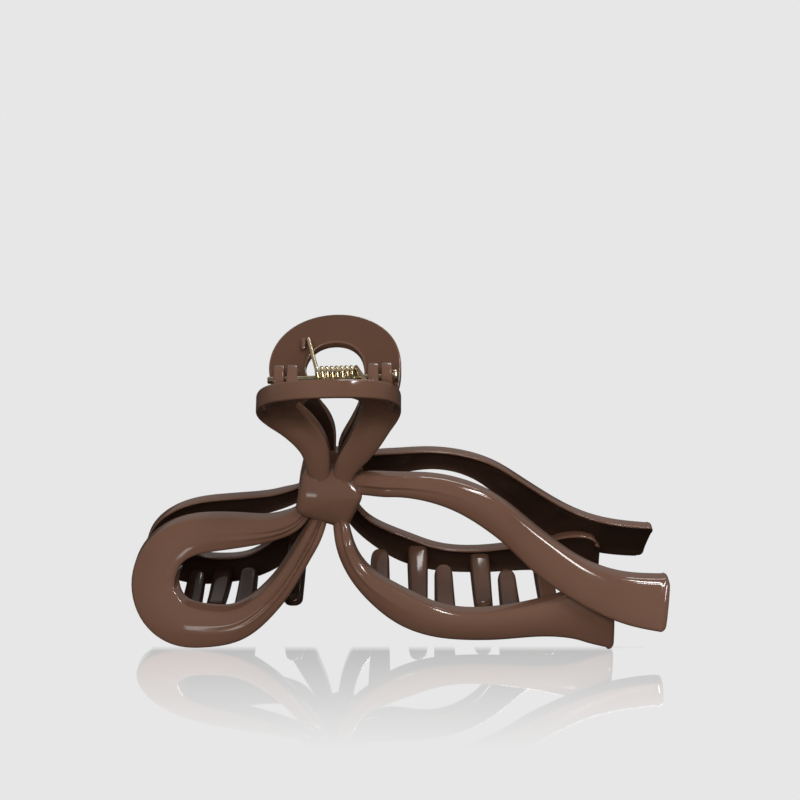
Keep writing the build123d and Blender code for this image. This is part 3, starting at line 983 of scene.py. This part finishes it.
def map_range(nodes, links, value, given, wanted):
    """Value carried from one range to another."""
    node = nodes.new("ShaderNodeMapRange")
    for name, number in zip(("From Min", "From Max", "To Min", "To Max"), (*given, *wanted)):
        node.inputs[name].default_value = number
    links.new(value, node.inputs["Value"])
    return node.outputs["Result"]


def plastic_material(name, painted_shade_share, shine, coat):
    """Moulded plastic: broad colour change, fine roughness and shallow waves of the surface; a share below
    one darkens the brown into painted shade.
    """
    material, nodes, links, shader = principled(name)
    coords = nodes.new("ShaderNodeTexCoord")
    deep, pale = [tuple(c * painted_shade_share for c in colour) for colour in (BROWN_DEEP, BROWN_PALE)]
    broad = noise(nodes, links, coords, 45.0)
    links.new(ramp(nodes, links, broad, ((0.3, deep), (0.75, pale))), shader.inputs["Base Color"])
    fine = noise(nodes, links, coords, 900.0, 3.0)
    links.new(map_range(nodes, links, fine, (0.0, 1.0), (0.08, 0.13)), shader.inputs["Roughness"])
    bump = nodes.new("ShaderNodeBump")
    bump.inputs["Strength"].default_value = 0.05
    bump.inputs["Distance"].default_value = 0.0004
    links.new(noise(nodes, links, coords, 160.0, 1.0), bump.inputs["Height"])
    links.new(bump.outputs["Normal"], shader.inputs["Normal"])
    shader.inputs["IOR"].default_value = 1.49
    shader.inputs["Specular IOR Level"].default_value = shine
    shader.inputs["Coat Weight"].default_value = coat
    shader.inputs["Coat Roughness"].default_value = 0.05
    return material


def gold_material():
    """Plated steel with a slight change of colour and polish."""
    material, nodes, links, shader = principled("gold_metal")
    shader.inputs["Metallic"].default_value = 1.0
    grain = noise(nodes, links, nodes.new("ShaderNodeTexCoord"), 600.0)
    links.new(ramp(nodes, links, grain, ((0.0, GOLD_DEEP), (1.0, GOLD_PALE))), shader.inputs["Base Color"])
    links.new(map_range(nodes, links, grain, (0.0, 1.0), (0.16, 0.28)), shader.inputs["Roughness"])
    return material


def emission(nodes, value):
    """Even grey glow."""
    node = nodes.new("ShaderNodeEmission")
    node.inputs["Color"].default_value = (value, value, value, 1)
    return node.outputs["Emission"]


def floor():
    """Pale floor that glows as the backdrop does, with a mirror that fades in front of the clip."""
    mesh = bpy.data.meshes.new("floor")
    corners = [(a * FLOOR_HALF, b * FLOOR_HALF, 0) for a, b in ((-1, -1), (1, -1), (1, 1), (-1, 1))]
    mesh.from_pydata(corners, [], [(0, 1, 2, 3)])
    obj = bpy.data.objects.new("floor", mesh)
    bpy.context.scene.collection.objects.link(obj)
    material = bpy.data.materials.new("pale_floor")
    material.use_nodes = True
    nodes, links = material.node_tree.nodes, material.node_tree.links
    nodes.clear()
    out = nodes.new("ShaderNodeOutputMaterial")
    mix = nodes.new("ShaderNodeMixShader")
    glow = emission(nodes, BACKDROP)
    rest = emission(nodes, BACKDROP - ROOM_GREY)
    gloss = nodes.new("ShaderNodeBsdfGlossy")
    gloss.inputs["Roughness"].default_value = MIRROR_ROUGH
    gloss.inputs["Color"].default_value = (1.0, 1.0, 1.0, 1)
    both = nodes.new("ShaderNodeAddShader")
    coords = nodes.new("ShaderNodeTexCoord")
    split = nodes.new("ShaderNodeSeparateXYZ")
    links.new(coords.outputs["Object"], split.inputs["Vector"])
    fade = map_range(nodes, links, split.outputs["Y"], (MIRROR_FRONT, MIRROR_NEAR), (0.0, MIRROR))
    behind = map_range(nodes, links, split.outputs["Y"], (MIRROR_NEAR, MIRROR_BACK), (1.0, 0.0))
    amount = nodes.new("ShaderNodeMath")
    amount.operation = "MULTIPLY"
    links.new(fade, amount.inputs[0])
    links.new(behind, amount.inputs[1])
    links.new(rest, both.inputs[0])
    links.new(gloss.outputs["BSDF"], both.inputs[1])
    links.new(amount.outputs["Value"], mix.inputs["Fac"])
    links.new(glow, mix.inputs[1])
    links.new(both.outputs["Shader"], mix.inputs[2])
    links.new(mix.outputs["Shader"], out.inputs["Surface"])
    mesh.materials.append(material)
    obj.visible_diffuse = False
    obj.visible_glossy = False


def area(name, place, width, height, watts, in_gloss):
    """Rectangular light, turned to the clip."""
    data = bpy.data.lights.new(name, "AREA")
    data.energy = watts
    data.shape = "RECTANGLE"
    data.size = width
    data.size_y = height
    obj = bpy.data.objects.new(name, data)
    bpy.context.scene.collection.objects.link(obj)
    obj.location = place
    way = Vector(LIGHTS_AIM) - Vector(place)
    obj.rotation_euler = way.to_track_quat("-Z", "Y").to_euler()
    obj.visible_glossy = in_gloss


def studio():
    """Pale backdrop for the camera, a grey room for light and gloss, and the lights."""
    world = bpy.data.worlds.new("studio")
    bpy.context.scene.world = world
    world.use_nodes = True
    nodes, links = world.node_tree.nodes, world.node_tree.links
    nodes.clear()
    out = nodes.new("ShaderNodeOutputWorld")
    mix = nodes.new("ShaderNodeMixShader")
    path = nodes.new("ShaderNodeLightPath")
    seen = nodes.new("ShaderNodeBackground")
    seen.inputs["Color"].default_value = (BACKDROP, BACKDROP, BACKDROP, 1)
    room = nodes.new("ShaderNodeBackground")
    coords = nodes.new("ShaderNodeTexCoord")
    split = nodes.new("ShaderNodeSeparateXYZ")
    links.new(coords.outputs["Generated"], split.inputs["Vector"])
    height = map_range(nodes, links, split.outputs["Z"], (-1.0, 1.0), (0.0, 1.0))
    greys = [(place, (value, value, value)) for place, value in ROOM_STOPS]
    links.new(ramp(nodes, links, height, greys), room.inputs["Color"])
    dim = map_range(nodes, links, split.outputs["Y"], ROOM_FRONT_SPAN, (ROOM_FRONT, 1.0))
    links.new(dim, room.inputs["Strength"])
    links.new(path.outputs["Is Camera Ray"], mix.inputs[0])
    links.new(room.outputs["Background"], mix.inputs[1])
    links.new(seen.outputs["Background"], mix.inputs[2])
    links.new(mix.outputs["Shader"], out.inputs["Surface"])
    for light in LIGHTS:
        area(*light)


def camera():
    data = bpy.data.cameras.new("photo_camera")
    data.sensor_width = SENSOR
    data.lens = CAMERA_LENS
    data.clip_start = 0.01
    obj = bpy.data.objects.new("photo_camera", data)
    bpy.context.scene.collection.objects.link(obj)
    obj.location = [c * MM for c in CAMERA_PLACE]
    obj.rotation_euler = (math.radians(CAMERA_PITCH), 0, 0)
    bpy.context.scene.camera = obj


camera()
bpy.context.scene.view_settings.view_transform = "Standard"
floor()
studio()

front_ears, back_ears = ear_places()
tab_away = COIL_LENGTH / 2 - WIRE / 2 + LEG_SPLAY + (WIRE + TAB_WIDTH) / 2 + TAB_GAP
front = jaw("front_bow", FRONT_TEETH, FRONT_TOOTH_X, front_ears, COIL_X + tab_away, LOOP_REACH,
            GRIP_X, GRIP_HALF, False)
back = jaw("back_bow", BACK_TEETH, BACK_TOOTH_X, back_ears, COIL_X - tab_away, BACK_LOOP_REACH,
           BACK_GRIP_X, BACK_GRIP_HALF, True)
spring_wire, spring_left, spring_right = spring()
hinge = pin()

# The two darker copies of the brown, with less gloss and no coat, paint the shade that falls on the inner
# faces, teeth and grip ring
brown = (plastic_material("brown_gloss_plastic", OUTSIDE_SHADE, 0.5, 0.25),
         plastic_material("brown_painted_deep_shade", DEEP_PAINTED_SHADE, 0.25, 0.0),
         plastic_material("brown_painted_half_shade", HALF_PAINTED_SHADE, 0.15, 0.0))
gold = (gold_material(),)
for piece, finish, slot in ((front, brown, "brown_plastic"), (back, brown, "brown_plastic"),
                            (spring_wire, gold, "gold_metal"), (hinge, gold, "gold_metal")):
    for place, material in enumerate(finish):
        if place < len(piece.data.materials):
            piece.data.materials[place] = material
        else:
            piece.data.materials.append(material)

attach(front, "front")
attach(back, "back")
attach(hinge, "front")
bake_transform(spring_wire)
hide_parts("front_jaw")
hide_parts("back_jaw")
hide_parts("hinge_pin")
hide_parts("torsion_spring")
